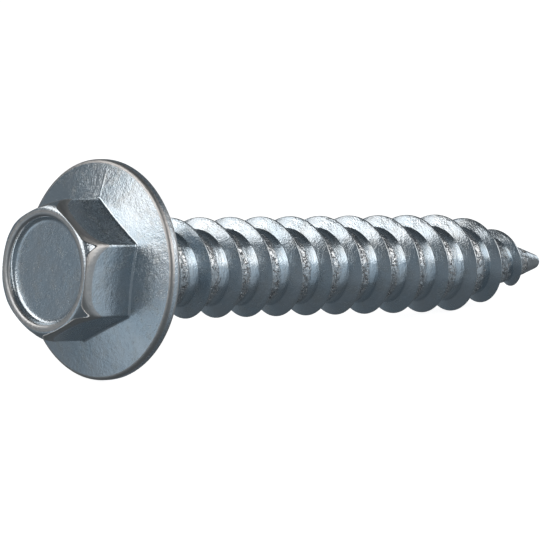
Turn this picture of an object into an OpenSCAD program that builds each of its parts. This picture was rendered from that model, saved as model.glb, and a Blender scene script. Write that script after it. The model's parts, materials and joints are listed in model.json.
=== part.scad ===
// Metal roofing screw: a hexagon head with a recessed top, a wide flange, a coarse thread and a point.
// It is drawn upright on the Z axis, with the bearing face at z = 0, the head above and the shank
// below. It is then laid down as it comes to rest, on the flange's rim and the crest of the thread.
// A distance s is measured down the axis from the bearing face. Lengths are in millimetres.

/* [Hexagon] */
// Width of the hexagon across its flats
hex_af = 7.95; // [7:0.05:10]
// Height of the head, from the bearing face to the top of its lip
head_h = 5.35; // [4:0.05:7]
// How far the rounded shoulder drops from the lip to the corners
shoulder_drop = 1.4; // [0.6:0.1:2]
// How far the lip's outer edge lies inside the flats
lip_inset = 0.15; // [0.05:0.05:0.5]
// Width of the flat lip around the recess
lip_w = 0.36; // [0.2:0.02:0.8]
// Depth of the recess in the top
recess_depth = 0.52; // [0.2:0.02:1]
// How far the recess narrows from its mouth to its floor
recess_slope = 0.3; // [0.05:0.05:0.6]
// Turn of the hexagon about the axis
hex_turn = -1.8; // [-30:0.2:30]

/* [Flange] */
// Diameter of the flange
flange_d = 14; // [12:0.1:18]
// Thickness of the flange at its rim
rim_t = 0.83; // [0.6:0.01:1.5]
// Rounding of the rim's two edges
rim_round = 0.16; // [0.05:0.01:0.25]
// Slope of the flange's upper side in degrees
flange_slope = 12.2; // [5:0.2:18]

/* [Shank] */
// Length from the bearing face to the tip
length = 39.6; // [28:0.1:60]
// How far the plain neck under the head stands out from the root of the thread
neck_step = 0.26; // [0.1:0.02:0.5]
// Length of the plain neck
neck_len = 1.4; // [1:0.1:4]

/* [Thread] */
// Diameter over the crest of the thread
thread_d = 6.5; // [5.5:0.1:8]
// Advance of the thread in one turn
thread_pitch = 2.68; // [2.2:0.02:3.6]
// Depth of the thread from crest to root
thread_depth = 0.76; // [0.6:0.02:1]
// Width of the crest
crest_w = 0.14; // [0.08:0.02:0.4]
// Angle of the flank that faces the head, in degrees
flank_head = 30; // [20:1:40]
// Angle of the flank that faces the point, in degrees
flank_tip = 36; // [20:1:40]
// Turns over which the thread rises out of the neck
run_in = 0.5; // [0.25:0.05:1]
// Turn of the whole thread about the axis
thread_turn = 6.2; // [-180:0.1:180]

/* [Point] */
// Length over which the crest draws in, back from the tip
point_len = 10.1; // [8:0.1:16]
// Length over which the root draws in, back from the tip
core_taper_len = 8.1; // [6:0.1:14]
// Length of the bare nose past the end of the thread
nose_len = 2.5; // [1.5:0.1:3]
// Diameter over the crest where the thread ends
tail_d = 2.6; // [2.2:0.1:3.6]
// Turns over which the end of the thread drops to the nose
run_out = 0.15; // [0.1:0.05:0.5]
// Diameter of the nose at its base
nose_d = 2.1; // [1.4:0.1:2.2]
// Rounding of the tip
tip_r = 0.38; // [0.2:0.02:0.5]

/* [Hidden] */
$fn = 96;

// Straight steps in one turn of the thread, in the rounding of the rim and in other rounded outlines
turn_steps = 40;
rim_steps = 3;
arc_steps = 8;
// Rows of points across one turn of the thread: two at the feet, two on the crest, one on the root
turn_rows = 5;
// Height below which the flanks of the thread grow no narrower, where it rises and drops
flank_least_h = 0.15;
// How deep the end of the neck sits in the shank
neck_sink = 0.2;
// How far the cut for the recess stands above the lip
cut_over = 0.5;
// Reach of the shoulder's curve past the hexagon's corners, as a multiple of theirs
shoulder_reach = 1.1;
// Gap between the crest of the thread and the inner edge of the bearing face
seat_clear = 0.05;

hex_r = hex_af / 2 / cos(30);
lip_r = hex_af / 2 - lip_inset;
mouth_r = lip_r - lip_w;
floor_r = mouth_r - recess_slope;
// Half axes of the ellipse that rounds the shoulder, and meets the corners below the lip
shoulder_w = (hex_r - lip_r) * shoulder_reach;
shoulder_h = shoulder_drop / (1 - sqrt(1 - 1 / pow(shoulder_reach, 2)));

flange_r = flange_d / 2;
rim_top_r = flange_r - rim_round;
// Height at which the cone would meet the axis, for a cone that runs smoothly out of the rounded rim
cone_h = rim_t - rim_round + rim_round / cos(flange_slope) + rim_top_r * tan(flange_slope);

thread_r = thread_d / 2;
root_r = thread_r - thread_depth;
neck_r = root_r + neck_step;
neck_fillet = thread_depth - neck_step + seat_clear;

point_start = length - point_len;
taper_start = length - core_taper_len;
nose_start = length - nose_len;
nose_r = nose_d / 2;
tail_r = tail_d / 2;
tip_centre = length - tip_r;
// Angle between the nose's side, which runs into the round tip, and the axis
nose_run = tip_centre - nose_start;
nose_angle = atan2(nose_r, nose_run) - asin(tip_r / norm([nose_run, nose_r]));

// The thread rises just past the neck and drops to the nose. The shank that carries it starts inside
// the neck, and the bare nose goes on from where it ends
neck_end = neck_len + neck_step + neck_sink;
thread_start = neck_end + flank_least_h;
shank_start = neck_len / 2;
shank_end = nose_start + crest_w;
// Turns of the thread that reach past both ends of the shank
first_turn = floor(shank_start / thread_pitch) - 2;
row_count = (ceil(shank_end / thread_pitch) + 1 - first_turn) * turn_rows;

// Distances of the crest's lowest passes when the screw lies down, and the slope of the axis on which both
// the rim of the flange and the lowest of those passes touch the ground
low_passes = [
    for (k = [1:ceil(length / thread_pitch)])
        let (s = thread_pitch * (k + (thread_turn - 180) / 360))
        if (s > thread_start + run_in * thread_pitch && s < nose_start) s
];
lay_angle = min([for (s = low_passes) atan((flange_r - crest_r(s)) / (s + rim_round))]);
lay_height = flange_r * cos(lay_angle) - rim_round * sin(lay_angle);
// The far ends of the lying screw along X, measured from the centre of the bearing face
lay_back = head_h * cos(lay_angle) + lip_r * sin(lay_angle);
lay_front = tip_centre * cos(lay_angle) + tip_r;

// Radius of the shank at the root of the thread
function core_r(s) =
    s < taper_start ? root_r
    : s < nose_start ? root_r + (nose_r - root_r) * (s - taper_start) / (nose_start - taper_start)
    : nose_r - (s - nose_start) * tan(nose_angle);

// Radius of the crest: level along the shank, then drawn in to the tail on a parabola
function crest_r(s) =
    s < point_start ? thread_r
    : thread_r - (thread_r - tail_r) * pow((s - point_start) / (nose_start - point_start), 2);

// Height of the thread above the root, which rises past the neck and drops at the nose
function ridge_h(s) =
    let (rise = (s - thread_start) / (run_in * thread_pitch))
    let (fall = (nose_start - s) / (run_out * thread_pitch))
    max(0, min(1, rise, fall)) * (crest_r(s) - core_r(s));

// Distances of a turn's two feet, where its crest is at s
function foot_head(s) = s - crest_w / 2 - max(ridge_h(s), flank_least_h) * tan(flank_head);
function foot_tip(s) = s + crest_w / 2 + max(ridge_h(s), flank_least_h) * tan(flank_tip);

// Distance of the crest where a turn passes one step of the circle
function crest_s(turn, step) = thread_pitch * (turn + thread_turn / 360 + step / turn_steps);

// Distance of a row of points at one step: foot, two edges of the crest, foot, middle of the root
function row_s(row, step) =
    let (s = crest_s(first_turn + floor(row / turn_rows), step))
    [
        foot_head(s),
        s - crest_w / 2,
        s + crest_w / 2,
        foot_tip(s),
        (foot_tip(s) + foot_head(s + thread_pitch)) / 2,
    ][row % turn_rows];

// Radius of a row of points at one step
function row_r(row, step) =
    let (turn = floor(row / turn_rows), place = row % turn_rows)
    let (on_crest = place == 1 || place == 2)
    core_r(row_s(row, step)) + (on_crest ? ridge_h(crest_s(first_turn + turn, step)) : 0);

// Number of a row's point. Rows wind down the shank, so a full circle leads to the next turn's row.
// Past the ends of the shank, the rows close up on its first and its last ring
function row_point(row, step) =
    step == turn_steps ? row_point(row + turn_rows, 0)
    : row_s(row, step) <= shank_start ? step
    : row_s(row, step) >= shank_end ? turn_steps + step
    : (2 + row) * turn_steps + step;

// Point at a radius, a step of the circle and a distance. Steps run the way the thread winds down
function on_circle(r, step, s) =
    [r * cos(-360 * step / turn_steps), r * sin(-360 * step / turn_steps), -s];

// Points of an arc about [centre radius, centre height], from one angle to another
function arc(centre, radii, from, to, steps = arc_steps) = [
    for (i = [0:steps])
        let (a = from + (to - from) * i / steps)
        centre + [radii[0] * cos(a), radii[1] * sin(a)]
];

// Flange: flat bearing face, rounded rim and a conical top that runs on under the hexagon
module flange() {
    rotate_extrude()
        polygon(concat(
            [[0, 0]],
            arc([rim_top_r, rim_round], [rim_round, rim_round], -90, 0, rim_steps),
            arc([rim_top_r, rim_t - rim_round], [rim_round, rim_round], 0, 90 - flange_slope, rim_steps),
            [[0, cone_h]]
        ));
}

// Hexagon with its top rounded off at the corners, and a dished recess inside a narrow lip
module hexagon() {
    difference() {
        intersection() {
            rotate([0, 0, hex_turn])
                cylinder(r = hex_r, h = head_h, $fn = 6);
            rotate_extrude()
                polygon(concat(
                    [[0, 0], [lip_r + shoulder_w, 0]],
                    arc([lip_r, head_h - shoulder_h], [shoulder_w, shoulder_h], 0, 90),
                    [[0, head_h]]
                ));
        }
        rotate_extrude()
            polygon([
                [0, head_h - recess_depth],
                [floor_r, head_h - recess_depth],
                [mouth_r, head_h],
                [mouth_r, head_h + cut_over],
                [0, head_h + cut_over],
            ]);
    }
}

// Plain neck, with a fillet under the bearing face and a bevelled end that sits in the shank
module neck() {
    rotate_extrude()
        polygon(concat(
            [[0, rim_t / 2], [neck_r + neck_fillet, rim_t / 2]],
            arc([neck_r + neck_fillet, -neck_fillet], [neck_fillet, neck_fillet], 90, 180),
            [[neck_r, -neck_len], [root_r - neck_sink, -neck_end], [0, -neck_end]]
        ));
}

// Shank, thread and nose in one. The thread is right-handed
module shank() {
    nose = arc([0, tip_centre], [tip_r, tip_r], nose_angle, 90);
    nose_rings = [for (i = [0:arc_steps - 1]) nose[i]];
    nose_first = (2 + row_count + turn_rows) * turn_steps;
    tip = nose_first + len(nose_rings) * turn_steps;
    points = concat(
        [for (step = [0:turn_steps - 1]) on_circle(core_r(shank_start), step, shank_start)],
        [for (step = [0:turn_steps - 1]) on_circle(core_r(shank_end), step, shank_end)],
        [
            for (row = [0:row_count + turn_rows - 1], step = [0:turn_steps - 1])
                on_circle(row_r(row, step), step, row_s(row, step))
        ],
        [for (ring = nose_rings, step = [0:turn_steps - 1]) on_circle(ring[0], step, ring[1])],
        [[0, 0, -length]]
    );
    winding = [
        for (row = [0:row_count - 1], step = [0:turn_steps - 1])
            let (a = row_point(row, step), b = row_point(row + 1, step))
            let (c = row_point(row + 1, step + 1), d = row_point(row, step + 1))
            each [if (a != b && b != c) [a, b, c], if (a != d && d != c) [a, c, d]]
    ];
    nose_sides = [
        for (ring = [0:len(nose_rings) - 1], step = [0:turn_steps - 1])
            let (upper = ring == 0 ? turn_steps : nose_first + (ring - 1) * turn_steps)
            let (lower = nose_first + ring * turn_steps, next = (step + 1) % turn_steps)
            each [[upper + step, lower + step, lower + next], [upper + step, lower + next, upper + next]]
    ];
    nose_end = [
        for (step = [0:turn_steps - 1])
            [tip - turn_steps + step, tip, tip - turn_steps + (step + 1) % turn_steps]
    ];
    cap = [[for (step = [0:turn_steps - 1]) step]];
    polyhedron(points, concat(cap, winding, nose_sides, nose_end));
}

// The whole screw, laid down with the middle of its box over the origin
module screw() {
    color("lightsteelblue")
        translate([(lay_back - lay_front) / 2, 0, lay_height])
            rotate([0, lay_angle - 90, 0])
                union() {
                    flange();
                    hexagon();
                    neck();
                    shank();
                }
}

screw();
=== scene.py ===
"""Looks of a zinc-plated metal roofing screw that lies on its flange and on the crest of its thread.

The screw is one closed skin. Every ring of it is a set of radii and of distances along the screw's axis, so
it is worked out upright and then laid down. A distance is measured from the bearing face: the head is at
negative distances and the point at positive ones. Sizes of the screw are in millimetres, and Blender gets
metres.
"""

import json
import logging
import math
from dataclasses import dataclass, field
from enum import Enum
from typing import Any, Optional, Union

import bpy
import numpy as np
from mathutils import Matrix, Vector


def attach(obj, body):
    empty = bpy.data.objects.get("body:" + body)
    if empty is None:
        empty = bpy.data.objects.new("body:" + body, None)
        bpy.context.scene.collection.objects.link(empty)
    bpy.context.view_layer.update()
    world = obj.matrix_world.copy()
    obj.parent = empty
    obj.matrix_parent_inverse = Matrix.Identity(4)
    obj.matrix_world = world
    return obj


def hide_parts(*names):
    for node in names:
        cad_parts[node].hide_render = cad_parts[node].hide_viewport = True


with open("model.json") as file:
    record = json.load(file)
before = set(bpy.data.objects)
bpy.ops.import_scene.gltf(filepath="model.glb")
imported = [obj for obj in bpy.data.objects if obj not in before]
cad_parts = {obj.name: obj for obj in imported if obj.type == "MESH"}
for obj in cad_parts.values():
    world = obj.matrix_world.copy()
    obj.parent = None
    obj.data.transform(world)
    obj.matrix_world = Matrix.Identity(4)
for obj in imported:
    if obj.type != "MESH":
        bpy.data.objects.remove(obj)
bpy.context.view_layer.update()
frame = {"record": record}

Array = np.ndarray
Number = Union[float, Array]
Pair = tuple[Number, Number]
Span = tuple[float, float]
Triple = tuple[float, float, float]
Colour = tuple[float, float, float, float]
MM = 0.001
UPRIGHT = "upright"
log = logging.getLogger("roofing_screw")


class Mark(Enum):
    """What the finish has to know about a place on the skin, kept as an attribute of its points."""

    EDGE = "edge"
    PITS = "pits"
    NOSE = "nose"
    GRAIN = "grain"


@dataclass(frozen=True)
class Lay:
    """Where the screw lies: the middle of its bearing face, and its axis towards the point."""

    origin: Triple
    along: Triple

    @classmethod
    def from_record(cls, record: dict[str, Any]) -> "Lay":
        """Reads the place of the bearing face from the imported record.

        Args:
            record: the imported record, whose mounts give places in metres.

        Returns:
            The screw's place, in metres.
        """
        mount = next(m for m in record["mounts"] if m["name"] == "bearing_face")
        return cls(tuple(mount["pos_m"]), tuple(mount["axis"]))

    def place(self, radius: Array, angle: Array, distance: Array) -> Array:
        """Lays points of the upright screw down.

        A point is the origin, plus its distance along the axis, plus its radius times the cosine of its
        angle along the direction that is up from the axis, plus its radius times the sine of its angle
        along +Y.

        Args:
            radius: distances from the axis in millimetres.
            angle: angles about the axis in radians.
            distance: distances along the axis in millimetres.

        Returns:
            Points in metres, one row each.
        """
        along = np.array(self.along)
        up = np.array([-along[2], 0.0, along[0]])
        side = np.array([0.0, 1.0, 0.0])
        offset = (
            distance[:, None] * along
            + (radius * np.cos(angle))[:, None] * up
            + (radius * np.sin(angle))[:, None] * side
        )
        return np.array(self.origin) + offset * MM


@dataclass(frozen=True)
class Columns:
    """Angles of the skin's columns, which crowd together at the hexagon's corners."""

    corner_deg: float = -1.8
    per_side: int = 32
    crowding: float = 0.7

    @property
    def count(self) -> int:
        """Number of columns round the screw."""
        return 6 * self.per_side

    @property
    def turn(self) -> Array:
        """How far each column is turned the way the thread winds to the point, in radians.

        Within a side, a share u of the columns is at u less a sine of the whole side, so steps are short
        where u is 0, at a corner, and long in the middle of a flat.

        Returns:
            One angle for each column.
        """
        share = np.arange(self.count) / self.per_side
        warped = share - self.crowding * np.sin(2 * np.pi * share) / (2 * np.pi)
        return warped * np.pi / 3 - math.radians(self.corner_deg)

    @property
    def from_flat(self) -> Array:
        """Angle of each column from the middle of its flat, in radians."""
        return np.mod(self.turn + math.radians(self.corner_deg), np.pi / 3) - np.pi / 6

    def at_first_corner(self, width_deg: float) -> Array:
        """How near each column is to the hexagon's first corner.

        It is e to the minus square of the angle from that corner over a width.

        Args:
            width_deg: that width in degrees.

        Returns:
            One value for each column, 1 at the corner.
        """
        off = self.turn + math.radians(self.corner_deg)
        off = np.mod(off + np.pi, 2 * np.pi) - np.pi
        return np.exp(-((off / math.radians(width_deg)) ** 2))


@dataclass
class Rings:
    """A run of rings: radius and distance of each point, and how much of an edge it is."""

    count: int
    points: list[Array] = field(default_factory=list)
    edges: list[Array] = field(default_factory=list)

    def add(self, radius: Number, distance: Number, edge: float = 0.0) -> None:
        """Adds rings.

        Args:
            radius: radii, with one row for each ring, and one column or as many as the skin has.
            distance: distances, in the same form.
            edge: how much of an edge these rings are, from 0 to 1.
        """
        radius, distance = np.broadcast_arrays(np.atleast_2d(radius), np.atleast_2d(distance))
        both = np.stack([radius, distance])
        both = np.broadcast_to(both, (2, both.shape[1], self.count))
        self.points.append(both)
        self.edges.append(np.full(both.shape[1:], edge))

    def line(self, start: Pair, end: Pair, steps: int, edge: float = 0.0) -> None:
        """Adds rings on the straight line from one radius and distance to another, both ends included.

        Args:
            start: radius and distance at the start, each a number or one value for each column.
            end: radius and distance at the end.
            steps: number of steps.
            edge: how much of an edge these rings are.
        """
        share = np.linspace(0, 1, steps + 1)[:, None]
        radius, distance = (start[part] + share * (end[part] - start[part]) for part in (0, 1))
        self.add(radius, distance, edge)

    def bend(self, start: Pair, corner: Pair, end: Pair, steps: int, edge: float = 0.0) -> None:
        """Adds rings on a parabola that leaves start and reaches end in line with a corner between them.

        The three points weigh in with (1 - t) squared, 2 t (1 - t) and t squared.

        Args:
            start: radius and distance at the start, each a number or one value for each column.
            corner: radius and distance of the corner that is rounded off.
            end: radius and distance at the end.
            steps: number of steps.
            edge: how much of an edge these rings are.
        """
        t = np.linspace(0, 1, steps + 1)[:, None]
        weights = ((1 - t) ** 2, 2 * t * (1 - t), t**2)
        radius, distance = (
            sum(w * p[part] for w, p in zip(weights, (start, corner, end))) for part in (0, 1)
        )
        self.add(radius, distance, edge)

    def arc(self, centre: Pair, size: Pair, span: Pair, steps: int, edge: float = 0.0) -> None:
        """Adds rings on part of an ellipse.

        Args:
            centre: radius and distance of the centre.
            size: half axes along the radius and against the distance.
            span: angles at the start and the end in degrees, from outwards towards the head, each a number
                or one value for each column.
            steps: number of steps.
            edge: how much of an edge these rings are.
        """
        share = np.linspace(0, 1, steps + 1)[:, None]
        angle = np.radians(span[0] + share * (np.asarray(span[1]) - span[0]))
        self.add(centre[0] + size[0] * np.cos(angle), centre[1] - size[1] * np.sin(angle), edge)

    def stacked(self) -> tuple[Array, Array, Array]:
        """Radii, distances and edges of all rings, with one row for each ring."""
        both = np.concatenate(self.points, axis=1)
        return both[0], both[1], np.concatenate(self.edges, axis=0)


@dataclass
class Skin:
    """The screw's one closed mesh while it is put together."""

    columns: Columns
    radius: list[Array] = field(default_factory=list)
    angle: list[Array] = field(default_factory=list)
    distance: list[Array] = field(default_factory=list)
    marks: dict[Mark, list[Array]] = field(default_factory=lambda: {m: [] for m in Mark})
    faces: list[Array] = field(default_factory=list)
    size: int = 0

    def add(self, radius: Array, distance: Array, **marks: Number) -> Array:
        """Adds points on the columns.

        Args:
            radius: radii, with one row for each ring and one column for each of the skin's.
            distance: distances along the axis, in the same form.
            marks: values of the marks by their lower-case names. A mark left out is 0.

        Returns:
            Numbers of the new points, in the same form.
        """
        angle = np.broadcast_to(-self.columns.turn, radius.shape)
        self.radius.append(radius.ravel())
        self.distance.append(distance.ravel())
        self.angle.append(angle.ravel())
        for mark, values in self.marks.items():
            values.append(np.broadcast_to(marks.get(mark.value, 0.0), radius.shape).ravel())
        ids = np.arange(radius.size).reshape(radius.shape) + self.size
        self.size += radius.size
        return ids

    def pole(self, distance: float, **marks: float) -> int:
        """Adds a point on the axis.

        Args:
            distance: its distance along the axis.
            marks: values of its marks.

        Returns:
            Its number.
        """
        self.radius.append(np.zeros(1))
        self.angle.append(np.zeros(1))
        self.distance.append(np.array([distance]))
        for mark, values in self.marks.items():
            values.append(np.array([marks.get(mark.value, 0.0)]))
        self.size += 1
        return self.size - 1

    def cover(self, ids: Array) -> None:
        """Puts two triangles between each four neighbours in a grid of points.

        A triangle that has one point twice is left out.

        Args:
            ids: numbers of the points, with the first column repeated at the end where the grid closes.
        """
        a, b, c, d = ids[:-1, :-1], ids[1:, :-1], ids[1:, 1:], ids[:-1, 1:]
        first = np.stack([a, b, c], -1).reshape(-1, 3)
        second = np.stack([a, c, d], -1).reshape(-1, 3)
        both = np.concatenate([first, second])
        real = (both[:, 0] != both[:, 1]) & (both[:, 1] != both[:, 2]) & (both[:, 0] != both[:, 2])
        self.faces.append(both[real])

    def wrap(self, ids: Array) -> None:
        """Puts faces between rings that go all round the screw."""
        self.cover(np.concatenate([ids, ids[:, :1]], axis=1))

    def mesh(self, name: str, lay: Lay) -> bpy.types.Mesh:
        """Makes the Blender mesh, with its faces pointing outwards and its marks as attributes.

        The sum over the faces of the triple product of their corners is six times the volume. It is
        negative where the faces point inwards, and then each face's order is turned round.

        Args:
            name: the mesh's name.
            lay: where the screw lies.

        Returns:
            The mesh, in metres.
        """
        radius, angle, distance = (np.concatenate(x) for x in (self.radius, self.angle, self.distance))
        points = lay.place(radius, angle, distance)
        upright = np.stack([radius * np.cos(angle), radius * np.sin(angle), distance], axis=1)
        faces = np.concatenate(self.faces)
        used, faces = np.unique(faces, return_inverse=True)
        faces = faces.reshape(-1, 3)
        points = points[used]
        a, b, c = (points[faces[:, k]] - points.mean(0) for k in range(3))
        if np.einsum("ij,ij->", a, np.cross(b, c)) < 0:
            faces = faces[:, ::-1]
        mesh = bpy.data.meshes.new(name)
        mesh.vertices.add(len(points))
        mesh.vertices.foreach_set("co", points.ravel())
        mesh.loops.add(faces.size)
        mesh.loops.foreach_set("vertex_index", faces.ravel())
        mesh.polygons.add(len(faces))
        mesh.polygons.foreach_set("loop_start", np.arange(0, faces.size, 3))
        mesh.polygons.foreach_set("use_smooth", np.ones(len(faces), bool))
        for mark, values in self.marks.items():
            attribute = mesh.attributes.new(mark.value, "FLOAT", "POINT")
            attribute.data.foreach_set("value", np.concatenate(values)[used].astype(np.float32))
        attribute = mesh.attributes.new(UPRIGHT, "FLOAT_VECTOR", "POINT")
        attribute.data.foreach_set("vector", upright[used].astype(np.float32).ravel())
        mesh.update(calc_edges=True)
        mesh.validate()
        return mesh


@dataclass
class HexHead:
    """Hexagon head with a rounded shoulder, a narrow lip and a recess in its top."""

    across_flats: float = 7.95
    height: float = 5.345
    shoulder_drop: float = 1.4
    shoulder_reach: float = 1.1
    lip_inset: float = 0.15
    lip_width: float = 0.36
    recess_depth: float = 0.52
    recess_slope: float = 0.15
    corner_round: float = 0.24
    crease_round: float = 0.5
    lip_round: float = 0.2
    floor_round: float = 0.3
    first_ring: float = 0.25
    arc_from_deg: float = 88.0
    round_gap: float = 0.1
    crease_gap: float = 0.3
    foot_gap: float = 0.05
    brink_wear: float = 0.8
    lip_wear: float = 1.0
    shoulder_wear: float = 0.1
    crease_wear: float = 1.0

    def outline(self, from_flat: Array) -> Array:
        """Radius of the hexagon with rounded corners.

        On a flat it is half the width over the cosine of the angle from the flat's middle. Near a corner it
        is where that ray meets a circle whose centre is on the corner's own ray.

        Args:
            from_flat: angles from the middle of the flat in radians.

        Returns:
            Radii in millimetres.
        """
        half = self.across_flats / 2
        centre = (half - self.corner_round) / math.cos(np.pi / 6)
        off_corner = np.pi / 6 - np.abs(from_flat)
        tangent = math.atan2(self.corner_round / 2, centre + self.corner_round * math.cos(np.pi / 6))
        inside = np.maximum(self.corner_round**2 - (centre * np.sin(off_corner)) ** 2, 0)
        rounded = centre * np.cos(off_corner) + np.sqrt(inside)
        return np.where(off_corner < tangent, rounded, half / np.cos(from_flat))

    def rings(self, columns: Columns, flange: "Flange") -> Rings:
        """Rings from the middle of the recess over the lip and the shoulder to the flange.

        The shoulder is a turned ellipse, and each column leaves it where its radius is the hexagon's. A run
        of rings starts on the last ring of the run before it, or a little past it.

        Args:
            columns: the skin's columns.
            flange: the flange that the hexagon stands on.

        Returns:
            The rings, from the recess outwards.
        """
        rings = Rings(columns.count)
        corner_r = self.across_flats / 2 / math.cos(np.pi / 6)
        lip_r = self.across_flats / 2 - self.lip_inset
        mouth_r = lip_r - self.lip_width
        floor_r = mouth_r - self.recess_slope
        top, floor = -self.height, -self.height + self.recess_depth
        wall = np.array([self.recess_slope, -self.recess_depth])
        wall /= np.linalg.norm(wall)
        rings.line((self.first_ring, floor), (floor_r - self.floor_round, floor), 9)
        foot = (floor_r + wall[0] * self.floor_round, floor + wall[1] * self.floor_round)
        rings.bend((floor_r - self.floor_round * (1 - self.round_gap), floor), (floor_r, floor), foot, 5)
        brink = (mouth_r - wall[0] * self.lip_round, top - wall[1] * self.lip_round)
        rings.line(foot, brink, 4)
        rings.bend(brink, (mouth_r, top), (mouth_r + self.lip_round, top), 6, self.brink_wear)
        rings.line((mouth_r + self.lip_round * (1 + self.round_gap), top), (lip_r, top), 3, self.lip_wear)
        shoulder_w = (corner_r - lip_r) * self.shoulder_reach
        shoulder_h = self.shoulder_drop / (1 - math.sqrt(1 - 1 / self.shoulder_reach**2))
        side_r = self.outline(columns.from_flat)
        meet = np.arccos((side_r - lip_r) / shoulder_w)
        speed = np.hypot(shoulder_w * np.sin(meet), shoulder_h * np.cos(meet))
        leave = np.minimum(meet + self.crease_round / speed, (meet + np.pi / 2) / 2)
        centre = (lip_r, top + shoulder_h)
        crease = (side_r, centre[1] - shoulder_h * np.sin(meet))
        last = (lip_r + shoulder_w * np.cos(leave), centre[1] - shoulder_h * np.sin(leave))
        span = (self.arc_from_deg, np.degrees(leave))
        rings.arc(centre, (shoulder_w, shoulder_h), span, 12, self.shoulder_wear)
        rings.bend(last, crease, (side_r, crease[1] + self.crease_round), 8, self.crease_wear)
        base, reach = flange.cone_at(side_r), flange.foot_round
        upper = crease[1] + self.crease_round * (1 + self.crease_gap)
        rings.line((side_r, upper), (side_r, base - reach * (1 + self.foot_gap)), 16)
        out = (side_r + reach * math.cos(flange.slope), base + reach * math.sin(flange.slope))
        rings.bend((side_r, base - reach), (side_r, base), out, 5)
        return rings


@dataclass
class Flange:
    """Wide flange: a conical top, a rounded rim, a flat bearing face, and the plain neck under it."""

    diameter: float = 13.996
    rim_height: float = 0.83
    rim_round: float = 0.26
    slope_deg: float = 12.2
    foot_round: float = 0.14
    neck_radius: float = 2.75
    neck_fillet: float = 0.55
    neck_length: float = 1.4
    neck_step: float = 0.26
    grain: float = 1.15
    rim_wear: float = 1.0
    band_wear: float = 0.25
    fold_height: float = 0.014
    fold_width_deg: float = 0.5
    fold_fade: int = 4
    gap: float = 0.03
    rim_gap: float = 0.04
    face_gap: float = 0.05
    fillet_gap: float = 0.1

    @property
    def slope(self) -> float:
        """Slope of the conical top in radians."""
        return math.radians(self.slope_deg)

    @property
    def top_radius(self) -> float:
        """Radius of the centre line of the rim's rounding."""
        return self.diameter / 2 - self.rim_round

    def cone_at(self, radius: Number) -> Number:
        """Distance of the conical top at a radius: a straight line that touches the rim's rounding."""
        brow = self.rim_height - self.rim_round + self.rim_round / math.cos(self.slope)
        return -(brow + (self.top_radius - radius) * math.tan(self.slope))

    def rings(self, columns: Columns, start: Array) -> Rings:
        """Rings from the hexagon's foot over the rim and the bearing face to the end of the neck.

        A low fold of the metal runs out from the hexagon's first corner and fades at the rim.

        Args:
            columns: the skin's columns.
            start: radius at which the hexagon's foot ends, one for each column.

        Returns:
            The rings, from the hexagon outwards and then in to the neck.
        """
        rings = Rings(columns.count)
        edge_r = self.top_radius + self.rim_round * math.sin(self.slope)
        begin = start + self.gap
        share = np.linspace(0, 1, 23)[:, None]
        radius = begin + share * (edge_r - self.rim_gap - begin)
        fold = self.fold_height * columns.at_first_corner(self.fold_width_deg) * (1 - share**self.fold_fade)
        rings.add(radius, self.cone_at(radius) - fold)
        outer, size = self.diameter / 2, (self.rim_round, self.rim_round)
        upper = (self.top_radius, -(self.rim_height - self.rim_round))
        lower = (self.top_radius, -self.rim_round)
        rings.arc(upper, size, (90 - self.slope_deg, 0.0), 6, self.rim_wear)
        rings.line((outer, upper[1] + self.gap), (outer, lower[1] - self.gap), 3, self.band_wear)
        rings.arc(lower, size, (0.0, -90.0), 6, self.rim_wear)
        neck, inner = self.neck_radius, self.neck_radius + self.neck_fillet
        rings.line((self.top_radius - self.face_gap, 0.0), (inner + self.face_gap, 0.0), 8)
        rings.arc((inner, self.neck_fillet), (self.neck_fillet, self.neck_fillet), (90.0, 180.0), 8)
        rings.line((neck, self.neck_fillet + self.fillet_gap), (neck, self.neck_length), 3)
        root = (neck - self.neck_step, self.neck_length + self.neck_step)
        rings.line((neck - self.gap, self.neck_length + self.gap), root, 3)
        return rings


@dataclass(frozen=True)
class Wander:
    """Smooth random values along the thread, about 0 and mostly within an amount."""

    amount: float
    spacing: float
    salt: int
    spread: float = 0.6

    def values(self, along: Array, seed: int) -> Array:
        """Works the values out.

        Seeded random numbers stand at even spacing. A cubic in the share between two of them, 3 t squared
        less 2 t cubed, joins each to the next.

        Args:
            along: lengths along the thread in millimetres.
            seed: the shank's seed, to which the salt is added.

        Returns:
            Values, one for each length.
        """
        place = (along - along.min()) / self.spacing
        numbers = np.random.default_rng(seed + self.salt).normal(0, self.spread, int(place.max()) + 3)
        whole = np.floor(place).astype(int)
        t = place - whole
        t = t * t * (3 - 2 * t)
        return self.amount * (numbers[whole] * (1 - t) + numbers[whole + 1] * t)


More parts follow.
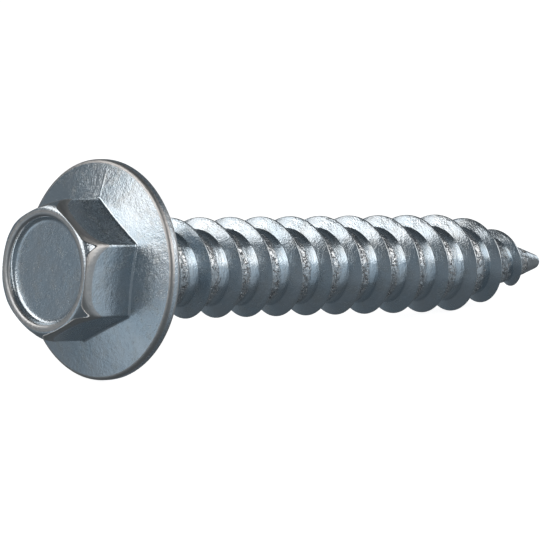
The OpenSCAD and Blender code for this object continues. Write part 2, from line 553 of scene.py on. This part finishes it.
@dataclass
class Shank:
    """Threaded shank, whose rows wind down it like its thread, with a pitted strip along the root."""

    thread_radius: float = 3.25
    root_radius: float = 2.49
    pitch: float = 2.68
    start: float = 1.75
    end: float = 37.5
    rise_from: float = 2.01
    rise_turns: float = 0.5
    drop_turns: float = 0.15
    turn_deg: float = 13.2
    crest_width: float = 0.06
    crest_wear: float = 0.3
    flank_head_deg: float = 31.5
    flank_tip_deg: float = 37.3
    least_height: float = 0.15
    point_start: float = 29.5
    taper_start: float = 31.5
    nose_start: float = 37.1
    nose_radius: float = 1.05
    nose_slope: float = 0.3017
    tail_radius: float = 1.34
    tail_lead: float = 0.42
    tail_end: float = 37.34
    full_height: float = 0.35
    strip_share: float = 0.54
    strip_widest: float = 0.95
    strip_edge: Wander = Wander(0.07, 0.9, 7)
    strip_limits: Span = (0.2, 0.96)
    strip_spread: Span = (29.0, 34.0)
    crack_place: float = 0.42
    crack_sway: tuple[Wander, ...] = (Wander(0.2, 1.1, 1), Wander(0.1, 0.4, 2))
    crack_width: float = 0.11
    crack_depth: float = 0.03
    crack_swell: tuple[Wander, ...] = (Wander(0.04, 1.0, 3), Wander(0.04, 0.35, 4))
    crack_deepest: float = 0.12
    small_pits: Wander = Wander(0.024, 0.26, 6)
    pit_fades: Span = (9.0, 5.0)
    mark_fades: Span = (8.0, 4.0)
    flank_pits: float = 0.3
    nose_fade: float = 0.8
    grain: float = 1.0
    seed: int = 11
    rise: tuple[float, ...] = (0.0, 0.04, 0.35, 0.7, 0.93)
    across: tuple[float, ...] = (0.0, 0.5, 1.0)
    across_drop: tuple[float, ...] = (0.014, 0.0, 0.014)
    fall: tuple[float, ...] = (0.93, 0.7, 0.45, 0.2, 0.04)
    strip: tuple[float, ...] = (0.0, 0.1, 0.22, 0.34, 0.46, 0.58, 0.7, 0.84, 1.0)
    level: tuple[float, ...] = (0.15, 0.5, 0.94)

    @property
    def turn_range(self) -> tuple[int, int]:
        """Numbers of the first turn and of the one past the last, with spare turns at both ends."""
        return math.floor(self.start / self.pitch) - 2, math.ceil(self.end / self.pitch) + 2

    @property
    def rows_per_turn(self) -> int:
        """Number of rows in one turn of the thread's section."""
        return sum(len(shares) for shares in (self.rise, self.across, self.fall, self.strip, self.level))

    def core(self, distance: Array) -> Array:
        """Radius of the root: level, then falling evenly to the nose, then as steep as the nose.

        Args:
            distance: distances along the axis in millimetres.

        Returns:
            Radii in millimetres, one for each distance.
        """
        share = np.clip((distance - self.taper_start) / (self.nose_start - self.taper_start), 0, 1)
        past = np.maximum(distance - self.nose_start, 0)
        return self.root_radius + (self.nose_radius - self.root_radius) * share - past * self.nose_slope

    def crest(self, distance: Array) -> Array:
        """Radius of the crest: level, then falling to the tail with the square of the distance."""
        share = np.maximum(distance - self.point_start, 0) / (self.nose_start - self.point_start)
        return self.thread_radius - (self.thread_radius - self.tail_radius) * share**2

    def ridge(self, distance: Array) -> Array:
        """Height of the thread over the root, which rises past the neck and drops at the nose.

        Args:
            distance: distances along the axis in millimetres.

        Returns:
            Heights in millimetres, one for each distance.
        """
        rise = (distance - self.rise_from) / (self.rise_turns * self.pitch)
        fall = (self.tail_end - distance) / (self.drop_turns * self.pitch)
        return np.clip(np.minimum(rise, fall), 0, 1) * (self.crest(distance) - self.core(distance))

    def pits(self, along: Array) -> Array:
        """How deep the pitted strip lies under the plain root.

        A crack wanders along the strip: its depth times e to the minus square of the distance from it over
        its width. Smaller pits are added to it, and all of them fade at the strip's two sides.

        Args:
            along: lengths along the thread in millimetres, by turn, one row and column.

        Returns:
            Depths in millimetres, by turn, row across the strip and column.
        """
        across = np.array(self.strip)[None, :, None]
        place = self.crack_place + sum(sway.values(along, self.seed) for sway in self.crack_sway)
        depth = self.crack_depth + sum(swell.values(along, self.seed) for swell in self.crack_swell)
        depth = np.clip(depth, 0.0, self.crack_deepest)
        crack = depth * np.exp(-(((across - place) / self.crack_width) ** 2))
        strand = np.arange(len(self.strip))[None, :, None] * (np.ptp(along) + 1.0)
        small = np.abs(self.small_pits.values(along + strand, self.seed))
        near, far = self.pit_fades
        return (crack + small) * np.clip(across * near, 0, 1) * np.clip((1 - across) * far, 0, 1)

    def rows(self, columns: Columns) -> tuple[Array, Array, Array, Array]:
        """Radius, distance and marks of every row of points.

        A turn's rows follow the thread's section: flank towards the head, rounded crest, flank towards the
        point, pitted strip of the root, plain rest of the root. The crest at a column is at the pitch times
        the turns made so far, counted from where the crest passes angle 0. Past the start of the point it
        runs ahead of that with the square of the distance, and the strip spreads over the whole root.

        Args:
            columns: the skin's columns.

        Returns:
            Radii, distances, pit marks and edge marks, with one row for each row of points. Rows of a whole
            extra turn stand at the end.
        """
        rise, across, across_drop, fall, strip, level = (
            np.array(shares)[None, :, None]
            for shares in (self.rise, self.across, self.across_drop, self.fall, self.strip, self.level)
        )
        begun = (columns.turn + math.radians(self.turn_deg)) / (2 * np.pi)
        turns = np.arange(*self.turn_range)[:, None, None] + begun
        at = self.pitch * turns
        late = np.clip((at - self.point_start) / (self.nose_start - self.point_start), 0, 1)
        at = at + self.tail_lead * late**2
        along = 2 * np.pi * self.thread_radius * turns
        height = self.ridge(at)
        room = np.clip(height / self.full_height, 0.0, 1.0)
        head_run, tip_run = (
            np.maximum(height, self.least_height) * math.tan(math.radians(angle))
            for angle in (self.flank_head_deg, self.flank_tip_deg)
        )
        near, far = at - self.crest_width / 2, at + self.crest_width / 2
        foot_near, foot_far = near - head_run, far + tip_run
        next_foot = np.concatenate([foot_near[1:], foot_near[-1:] + self.pitch])
        spread = np.clip((at - self.strip_spread[0]) / (self.strip_spread[1] - self.strip_spread[0]), 0, 1)
        share = self.strip_share + (self.strip_widest - self.strip_share) * spread
        share = share + self.strip_edge.values(along, self.seed)
        strip_end = foot_far + np.clip(share, *self.strip_limits) * (next_foot - foot_far)
        none = np.zeros_like(at)
        top = np.maximum(height - room * across_drop, 0)
        fade_in, fade_out = self.mark_fades
        pits = room * np.clip(strip * fade_in, self.flank_pits, 1) * np.clip((1 - strip) * fade_out, 0, 1)
        parts = (
            (foot_near + rise * head_run, rise * height, none, none),
            (near + across * self.crest_width, top, none, self.crest_wear * room),
            (foot_far - fall * tip_run, fall * height, self.flank_pits * room, none),
            (foot_far + strip * (strip_end - foot_far), -room * self.pits(along), pits, none),
            (strip_end + level * (next_foot - strip_end), none, none, none),
        )
        parts = (np.broadcast_arrays(*part) for part in parts)
        s, up, pits, worn = (np.concatenate(x, axis=1).reshape(-1, columns.count) for x in zip(*parts))
        return self.core(s) + up, s, pits, worn

    def cover(self, skin: Skin, columns: Columns, first_ring: Array, last_ring: Array) -> None:
        """Winds the rows on to the skin between two plain rings.

        Rows past either end take the numbers of that end's ring, so the thread closes on it without a slit.
        A row that has gone all round goes on as the next turn's row.

        Args:
            skin: the skin that gets the points and faces.
            columns: the skin's columns.
            first_ring: numbers of the points of the ring at the start.
            last_ring: numbers of the points of the ring at the end.
        """
        radius, distance, pits, worn = self.rows(columns)
        nose = np.clip((distance - self.nose_start) / self.nose_fade + 1, 0, 1)
        ids = skin.add(radius, distance, pits=pits, edge=worn, nose=nose, grain=self.grain)
        ids = np.where(distance <= self.start, first_ring[None, :], ids)
        ids = np.where(distance >= self.end, last_ring[None, :], ids)
        after = self.rows_per_turn
        skin.cover(np.concatenate([ids[:-after], ids[after:, :1]], axis=1))


@dataclass
class Nose:
    """Bare nose with a rounded tip."""

    length: float = 39.3
    tip_round: float = 0.52
    arc_gap_deg: float = 6.0
    grain: float = 0.3

    def rings(self, columns: Columns, start: float, radius: float, slope: float) -> Rings:
        """Rings from the end of the thread to just short of the tip.

        Args:
            columns: the skin's columns.
            start: distance at which the nose starts.
            radius: its radius there.
            slope: how fast it narrows.

        Returns:
            The rings, towards the tip.
        """
        rings = Rings(columns.count)
        lean = math.atan(slope)
        centre = (0.0, self.length - self.tip_round)
        touch = (self.tip_round * math.cos(lean), centre[1] + self.tip_round * math.sin(lean))
        rings.line((radius, start), touch, 10)
        span = (-math.degrees(lean) - self.arc_gap_deg, self.arc_gap_deg - 90.0)
        rings.arc(centre, (self.tip_round, self.tip_round), span, 8)
        return rings


Input = Union["Value", float, int, tuple, list]


class Value:
    """A number, colour or vector in a shader. Arithmetic on it adds Math nodes."""

    def __init__(self, shader: "Shader", socket: bpy.types.NodeSocket) -> None:
        """Wraps an output socket of a shader's node."""
        self.shader = shader
        self.socket = socket

    def _math(self, operation: str, first: Input, second: Input) -> "Value":
        """Adds a Math node for two values, in the order given."""
        return self.shader.node("ShaderNodeMath", {"operation": operation}, {0: first, 1: second})

    def __add__(self, other: Input) -> "Value":
        """Sum."""
        return self._math("ADD", self, other)

    __radd__ = __add__

    def __sub__(self, other: Input) -> "Value":
        """Difference."""
        return self._math("SUBTRACT", self, other)

    def __rsub__(self, other: Input) -> "Value":
        """Difference from a number."""
        return self._math("SUBTRACT", other, self)

    def __mul__(self, other: Input) -> "Value":
        """Product."""
        return self._math("MULTIPLY", self, other)

    __rmul__ = __mul__

    def __abs__(self) -> "Value":
        """Size without sign."""
        return self._math("ABSOLUTE", self, 0.0)


class Shader:
    """The nodes of a material or of the world."""

    def __init__(self, owner: Union[bpy.types.Material, bpy.types.World]) -> None:
        """Empties the nodes of a material or of a world.

        Args:
            owner: that material or world.
        """
        owner.use_nodes = True
        self.owner = owner
        self.tree = owner.node_tree
        self.tree.nodes.clear()

    def node(self, kind: str, settings: dict[str, Any], inputs: dict[Any, Input], output: Any = 0) -> Any:
        """Adds a node.

        Args:
            kind: the node's type.
            settings: its own settings, which are set first.
            inputs: values or links of its sockets, by name or number.
            output: name or number of the socket that is returned, or None for a node without any.

        Returns:
            That socket, wrapped.
        """
        node = self.tree.nodes.new(kind)
        for key, value in settings.items():
            setattr(node, key, value)
        for key, value in inputs.items():
            if isinstance(value, Value):
                self.tree.links.new(value.socket, node.inputs[key])
            else:
                node.inputs[key].default_value = value
        return None if output is None else Value(self, node.outputs[output])

    def finish(self, surface: Value) -> None:
        """Makes a shader the surface of the material or of the world."""
        kind = "World" if isinstance(self.owner, bpy.types.World) else "Material"
        self.node("ShaderNodeOutput" + kind, {}, {"Surface": surface}, None)

    def mix(self, share: Input, first: Input, second: Input) -> Value:
        """Mixes two colours.

        Args:
            share: how much of the second colour shows.
            first: the colour at 0.
            second: the colour at 1.

        Returns:
            The mixed colour.
        """
        return self.node("ShaderNodeMix", {"data_type": "RGBA"}, {0: share, 6: first, 7: second}, 2)

    def noise(
        self, scale: float, detail: float = 2.0, roughness: float = 0.5, place: Optional[Value] = None
    ) -> Value:
        """Noise, on Object coordinates unless a place is given.

        Args:
            scale: waves per metre, or per unit of the place.
            detail: number of finer layers.
            roughness: how strong each finer layer is.
            place: vector that takes the coordinates' stead.

        Returns:
            Values about 0.5.
        """
        place = place or self.node("ShaderNodeTexCoord", {}, {}, "Object")
        inputs = {"Vector": place, "Scale": scale, "Detail": detail, "Roughness": roughness}
        return self.node("ShaderNodeTexNoise", {"noise_dimensions": "3D"}, inputs)

    def vector(self, operation: str, *inputs: Input, output: int = 0) -> Value:
        """Adds a Vector Math node.

        Args:
            operation: what it does.
            inputs: vectors it works on.
            output: 0 for a vector, 1 for a number.

        Returns:
            The result.
        """
        return self.node("ShaderNodeVectorMath", {"operation": operation}, dict(enumerate(inputs)), output)

    def steps(self, value: Value, low: float, high: float) -> Value:
        """Share of the way from one number to another, kept within 0 and 1, with soft ends.

        Args:
            value: the value.
            low: number that gives 0.
            high: number that gives 1.

        Returns:
            The share.
        """
        inputs = {"Value": value, "From Min": low, "From Max": high}
        return self.node("ShaderNodeMapRange", {"interpolation_type": "SMOOTHSTEP"}, inputs)

    def mark(self, mark: Mark) -> Value:
        """Reads one of the skin's marks."""
        return self.node("ShaderNodeAttribute", {"attribute_name": mark.value}, {}, "Fac")


@dataclass(frozen=True)
class Patches:
    """Noise cut into soft patches: none at one of its values, full at another."""

    scale: float
    detail: float
    roughness: float
    none_at: float
    full_at: float

    def shade(self, sh: Shader) -> Value:
        """How much of a patch there is at each place."""
        return sh.steps(sh.noise(self.scale, self.detail, self.roughness), self.none_at, self.full_at)


@dataclass(frozen=True)
class ZincPlate:
    """Bright blue-white zinc on steel, with a fine grain, neutral worn edges and a pitted strip."""

    plate: Colour = (0.63, 0.675, 0.71, 1.0)
    cool: Colour = (0.56, 0.635, 0.69, 1.0)
    tarnish: Colour = (0.58, 0.59, 0.58, 1.0)
    worn: Colour = (0.52, 0.49, 0.465, 1.0)
    pitted: Colour = (0.62, 0.61, 0.6, 1.0)
    crack: Colour = (0.15, 0.14, 0.14, 1.0)
    nose: Colour = (0.5, 0.475, 0.455, 1.0)
    roughness: float = 0.16
    relief: float = 1.1e-5
    clouds: Patches = Patches(420.0, 3.0, 0.55, 0.35, 0.68)
    blots: Patches = Patches(1300.0, 3.0, 0.6, 0.45, 0.70)
    specks: Patches = Patches(6500.0, 2.0, 0.6, 0.3, 0.75)
    crack_scale: float = 1700.0
    crack_width: float = 0.03
    grain_scales: Span = (9500.0, 3200.0)
    swell_scale: float = 800.0
    pit_scale: float = 3000.0
    ray_scale: float = 60.0
    ring_stretch: Triple = (0.9, 0.9, 6.0)
    flange_from: Span = (4.4, 5.2)
    shank_from: Span = (0.5, 1.5)

    def material(self) -> bpy.types.Material:
        """Makes the material.

        Returns:
            The material: metal whose colour, roughness and grain follow noise and the skin's marks.
        """
        sh = Shader(bpy.data.materials.new("zinc_plate"))
        edge, pits, nose, grain = (sh.mark(m) for m in Mark)
        cloud, blot, speck = (patches.shade(sh) for patches in (self.clouds, self.blots, self.specks))
        cracks = 1 - sh.steps(abs(sh.noise(self.crack_scale, 3.0, 0.6) - 0.5), 0.0, self.crack_width)
        colour = sh.mix(cloud, self.plate, self.cool)
        for share, tint in (
            (0.5 * blot, self.tarnish),
            (0.9 * edge, self.worn),
            (0.7 * pits, self.pitted),
            (0.85 * pits * cracks, self.crack),
            (0.85 * nose, self.nose),
        ):
            colour = sh.mix(share, colour, tint)
        rough = self.roughness + 0.04 * cloud + 0.05 * blot + 0.08 * speck * grain
        rough = rough + 0.18 * edge - 0.03 * pits + 0.04 * nose
        fine, coarse = self.grain_scales
        height = grain * (1.2 * sh.noise(fine, 2.0, 0.6) + 1.4 * sh.noise(coarse))
        height = height + 1.6 * sh.noise(self.swell_scale, 1.0) + self.streaks(sh)
        height = height + pits * (5.5 * sh.noise(self.pit_scale, 3.0, 0.7) - 3.0 * cracks)
        bump = sh.node("ShaderNodeBump", {}, {"Strength": 1.0, "Distance": self.relief, "Height": height})
        inputs = {"Base Color": colour, "Metallic": 1.0, "Roughness": rough, "Normal": bump}
        sh.finish(sh.node("ShaderNodeBsdfPrincipled", {}, inputs))
        return sh.owner

    def streaks(self, sh: Shader) -> Value:
        """Fine lines that the dies leave: straight out on the flange, and round the shank.

        On the flange they are noise on the direction from the axis alone. On the shank they are noise that
        is drawn out round the axis and crowded along it.

        Args:
            sh: the material's nodes.

        Returns:
            The height of the lines.
        """
        upright = sh.node("ShaderNodeAttribute", {"attribute_name": UPRIGHT}, {}, "Vector")
        out = sh.vector("MULTIPLY", upright, (1.0, 1.0, 0.0))
        on_flange = sh.steps(sh.vector("LENGTH", out, output=1), *self.flange_from)
        on_shank = sh.steps(sh.vector("DOT_PRODUCT", upright, (0.0, 0.0, 1.0), output=1), *self.shank_from)
        rays = sh.noise(self.ray_scale, 2.0, 0.5, sh.vector("NORMALIZE", out))
        rings = sh.noise(1.0, 2.0, 0.5, sh.vector("MULTIPLY", upright, self.ring_stretch))
        return 0.45 * on_flange * rays + 1.2 * on_shank * rings


@dataclass
class RoofingScrew:
    """The whole screw, in one piece."""

    lay: Lay
    columns: Columns = field(default_factory=Columns)
    head: HexHead = field(default_factory=HexHead)
    flange: Flange = field(default_factory=Flange)
    shank: Shank = field(default_factory=Shank)
    nose: Nose = field(default_factory=Nose)

    def build(self) -> bpy.types.Object:
        """Builds the skin from the recess in the head to the tip.

        Returns:
            The screw. The solid named screw is hidden, so this mesh shows in its place.
        """
        skin = Skin(self.columns)
        head_rows = self.head.rings(self.columns, self.flange).stacked()
        flange_rows = self.flange.rings(self.columns, head_rows[0][-1]).stacked()
        radius, distance, edge = (np.concatenate(x) for x in zip(head_rows, flange_rows))
        grain = np.repeat([1.0, self.flange.grain], [len(head_rows[0]), len(flange_rows[0])])[:, None]
        upper = skin.add(radius, distance, edge=edge, grain=grain)
        centre = skin.pole(float(distance[0, 0]), grain=1.0)
        bare = {"nose": 1.0, "grain": self.nose.grain}
        first = skin.add(*self.plain_ring(self.shank.start))
        last = skin.add(*self.plain_ring(self.shank.end), **bare)
        skin.wrap(np.concatenate([np.full_like(first, centre), upper, first]))
        self.shank.cover(skin, self.columns, first[0], last[0])
        end = float(self.shank.core(np.array(self.shank.end)))
        nose = self.nose.rings(self.columns, self.shank.end, end, self.shank.nose_slope)
        radius, distance, _ = nose.stacked()
        lower = skin.add(radius[1:], distance[1:], **bare)
        tip = skin.pole(self.nose.length, **bare)
        skin.wrap(np.concatenate([last, lower, np.full_like(last, tip)]))
        piece = bpy.data.objects.new("roofing_screw", skin.mesh("roofing_screw", self.lay))
        bpy.context.scene.collection.objects.link(piece)
        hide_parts("screw")
        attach(piece, "root")
        return piece

    def plain_ring(self, distance: float) -> tuple[Array, Array]:
        """Radii and distances of a ring on the bare root."""
        where = np.full((1, self.columns.count), distance)
        return self.shank.core(where), where

    def dress(self, piece: bpy.types.Object, finish: ZincPlate) -> None:
        """Gives the screw its finish.

        Args:
            piece: the screw.
            finish: the plating.
        """
        piece.data.materials.append(finish.material())


def axes_from(azimuth_deg: float, elevation_deg: float) -> tuple[Vector, Vector, Vector]:
    """Axes of a light or a camera that faces the screw from one side.

    Args:
        azimuth_deg: angle of that side from +X towards +Y.
        elevation_deg: its angle above the floor.

    Returns:
        Unit directions to its right, up from it, and away from the screw.
    """
    a, e = math.radians(azimuth_deg), math.radians(elevation_deg)
    right = Vector((-math.sin(a), math.cos(a), 0.0))
    back = Vector((math.cos(a) * math.cos(e), math.sin(a) * math.cos(e), math.sin(e)))
    return right, back.cross(right), back


def set_up(name: str, data: bpy.types.ID, place: Vector, axes: tuple[Vector, ...]) -> bpy.types.Object:
    """Puts a light or a camera in the scene.

    Args:
        name: its name.
        data: the light or the camera.
        place: where it stands.
        axes: its axes.

    Returns:
        The new object.
    """
    thing = bpy.data.objects.new(name, data)
    thing.matrix_world = Matrix.Translation(place) @ Matrix(axes).transposed().to_4x4()
    bpy.context.scene.collection.objects.link(thing)
    return thing


@dataclass(frozen=True)
class Softbox:
    """A rectangular soft light whose plane faces the screw, with its middle shifted up its own plane."""

    name: str
    azimuth_deg: float
    elevation_deg: float
    width: float
    height: float
    shift: float
    brightness: float
    away: float = 0.5
    colour: Triple = (1.0, 0.985, 0.97)

    def build(self, target: Vector) -> bpy.types.Object:
        """Makes the light. Its power is pi times its brightness times its area.

        Args:
            target: the point that it faces.

        Returns:
            The light.
        """
        light = bpy.data.lights.new(self.name, "AREA")
        light.shape = "RECTANGLE"
        light.size, light.size_y = self.width, self.height
        light.energy, light.color = math.pi * self.brightness * self.width * self.height, self.colour
        axes = axes_from(self.azimuth_deg, self.elevation_deg)
        lamp = set_up(self.name, light, target + axes[2] * self.away + axes[1] * self.shift, axes)
        lamp.visible_camera = False
        return lamp


@dataclass(frozen=True)
class Glow:
    """A soft round patch of the surroundings, such as the light that a wall or the table throws back."""

    azimuth_deg: float
    elevation_deg: float
    inner_deg: float
    outer_deg: float
    brightness: float

    def shade(self, sky: Shader, way: Value) -> Value:
        """Brightness of the patch: full within the inner angle from its middle, none past the outer one.

        Args:
            sky: the world's nodes.
            way: the direction that is looked at.

        Returns:
            The brightness in that direction.
        """
        middle = tuple(axes_from(self.azimuth_deg, self.elevation_deg)[2])
        cosines = (math.cos(math.radians(angle)) for angle in (self.outer_deg, self.inner_deg))
        return self.brightness * sky.steps(sky.vector("DOT_PRODUCT", way, middle, output=1), *cosines)


@dataclass
class Studio:
    """Floor, light and camera. The camera's place is told from the bearing face, along its own axes."""

    azimuth_deg: float = -133.139
    elevation_deg: float = 11.374
    away: float = 377.505
    right: float = 10.351
    up: float = -0.030
    focal: float = 397.44
    sensor: float = 36.0
    clip: Span = (0.01, 20.0)
    floor_half: float = 3.0
    floor_colour: Colour = (0.45, 0.45, 0.45, 1.0)
    floor_glow: float = 0.9
    lit_point: Triple = (0.0, 0.0, 0.006)
    sky_base: float = 0.115
    sky_steps: tuple[Triple, ...] = (
        (-0.7, -0.3, 0.09),
        (0.0, 0.25, -0.06),
        (0.6, 0.9, -0.075),
    )
    sky_tint: Colour = (0.86, 1.0, 1.12, 1.0)
    glows: tuple[Glow, ...] = (
        Glow(-42.0, -14.0, 12.0, 32.0, 0.2),
        Glow(-62.0, 4.0, 4.0, 26.0, 0.35),
        Glow(152.0, -14.0, 3.0, 22.0, 0.34),
        Glow(14.0, 6.0, 3.0, 15.0, 1.8),
    )
    softboxes: tuple[Softbox, ...] = (
        Softbox("front_right", -73.0, 31.0, 0.62, 0.38, 0.0, 1.75),
        Softbox("back_left", 163.0, 45.0, 0.46, 0.43, -0.157, 1.65),
        Softbox("back_high", 121.0, 38.0, 0.34, 0.22, 0.0, 1.25),
    )

    def camera(self, lay: Lay) -> bpy.types.Object:
        """Makes the camera, which looks past the bearing face from a long way off.

        Args:
            lay: where the screw lies.

        Returns:
            The camera.
        """
        data = bpy.data.cameras.new("camera")
        data.lens, data.sensor_width = self.focal, self.sensor
        data.clip_start, data.clip_end = self.clip
        right, up, back = axes_from(self.azimuth_deg, self.elevation_deg)
        place = Vector(lay.origin) + (right * self.right + up * self.up + back * self.away) * MM
        cam = set_up("camera", data, place, (right, up, back))
        bpy.context.scene.camera = cam
        return cam

    def floor(self) -> bpy.types.Object:
        """Makes the pale floor, a plain plane that the screw lies on and that glows like a light table.

        Returns:
            The floor.
        """
        half = self.floor_half
        corners = [(-half, -half, 0.0), (half, -half, 0.0), (half, half, 0.0), (-half, half, 0.0)]
        mesh = bpy.data.meshes.new("floor")
        mesh.from_pydata(corners, [], [(0, 1, 2, 3)])
        floor = bpy.data.objects.new("floor", mesh)
        bpy.context.scene.collection.objects.link(floor)
        sh = Shader(bpy.data.materials.new("floor_paper"))
        paper = {"Base Color": self.floor_colour, "Roughness": 0.9, "Specular IOR Level": 0.0}
        glow = {"Emission Color": (1.0, 1.0, 1.0, 1.0), "Emission Strength": self.floor_glow}
        sh.finish(sh.node("ShaderNodeBsdfPrincipled", {}, paper | glow))
        mesh.materials.append(sh.owner)
        floor.visible_glossy = False
        floor.visible_shadow = False
        return floor

    def light(self) -> None:
        """Sets up the sky and the softboxes.

        The sky starts from a base brightness. Smooth steps over the Z part of a direction change it, and
        the glows are added to it.
        """
        sky = Shader(bpy.data.worlds.new("studio"))
        way = sky.node("ShaderNodeTexCoord", {}, {}, "Generated")
        height = sky.vector("DOT_PRODUCT", way, (0.0, 0.0, 1.0), output=1)
        changes = (change * sky.steps(height, low, high) for low, high, change in self.sky_steps)
        total = sum(changes, self.sky_base)
        total = sum((glow.shade(sky, way) for glow in self.glows), total)
        sky.finish(sky.node("ShaderNodeBackground", {}, {"Color": self.sky_tint, "Strength": total}))
        bpy.context.scene.world = sky.owner
        bpy.context.scene.view_settings.view_transform = "Standard"
        for box in self.softboxes:
            box.build(Vector(self.lit_point))


def main() -> None:
    """Builds the screw and the studio, and reports each piece."""
    logging.basicConfig(level=logging.INFO, format="%(name)s: %(message)s")
    lay = Lay.from_record(frame["record"])
    screw = RoofingScrew(lay)
    piece = screw.build()
    screw.dress(piece, ZincPlate())
    log.info("%s: %d triangles", piece.name, len(piece.data.polygons))
    studio = Studio()
    studio.floor()
    studio.light()
    studio.camera(lay)
    log.info("studio: %d softboxes", len(studio.softboxes))


if __name__ == "__main__":
    main()
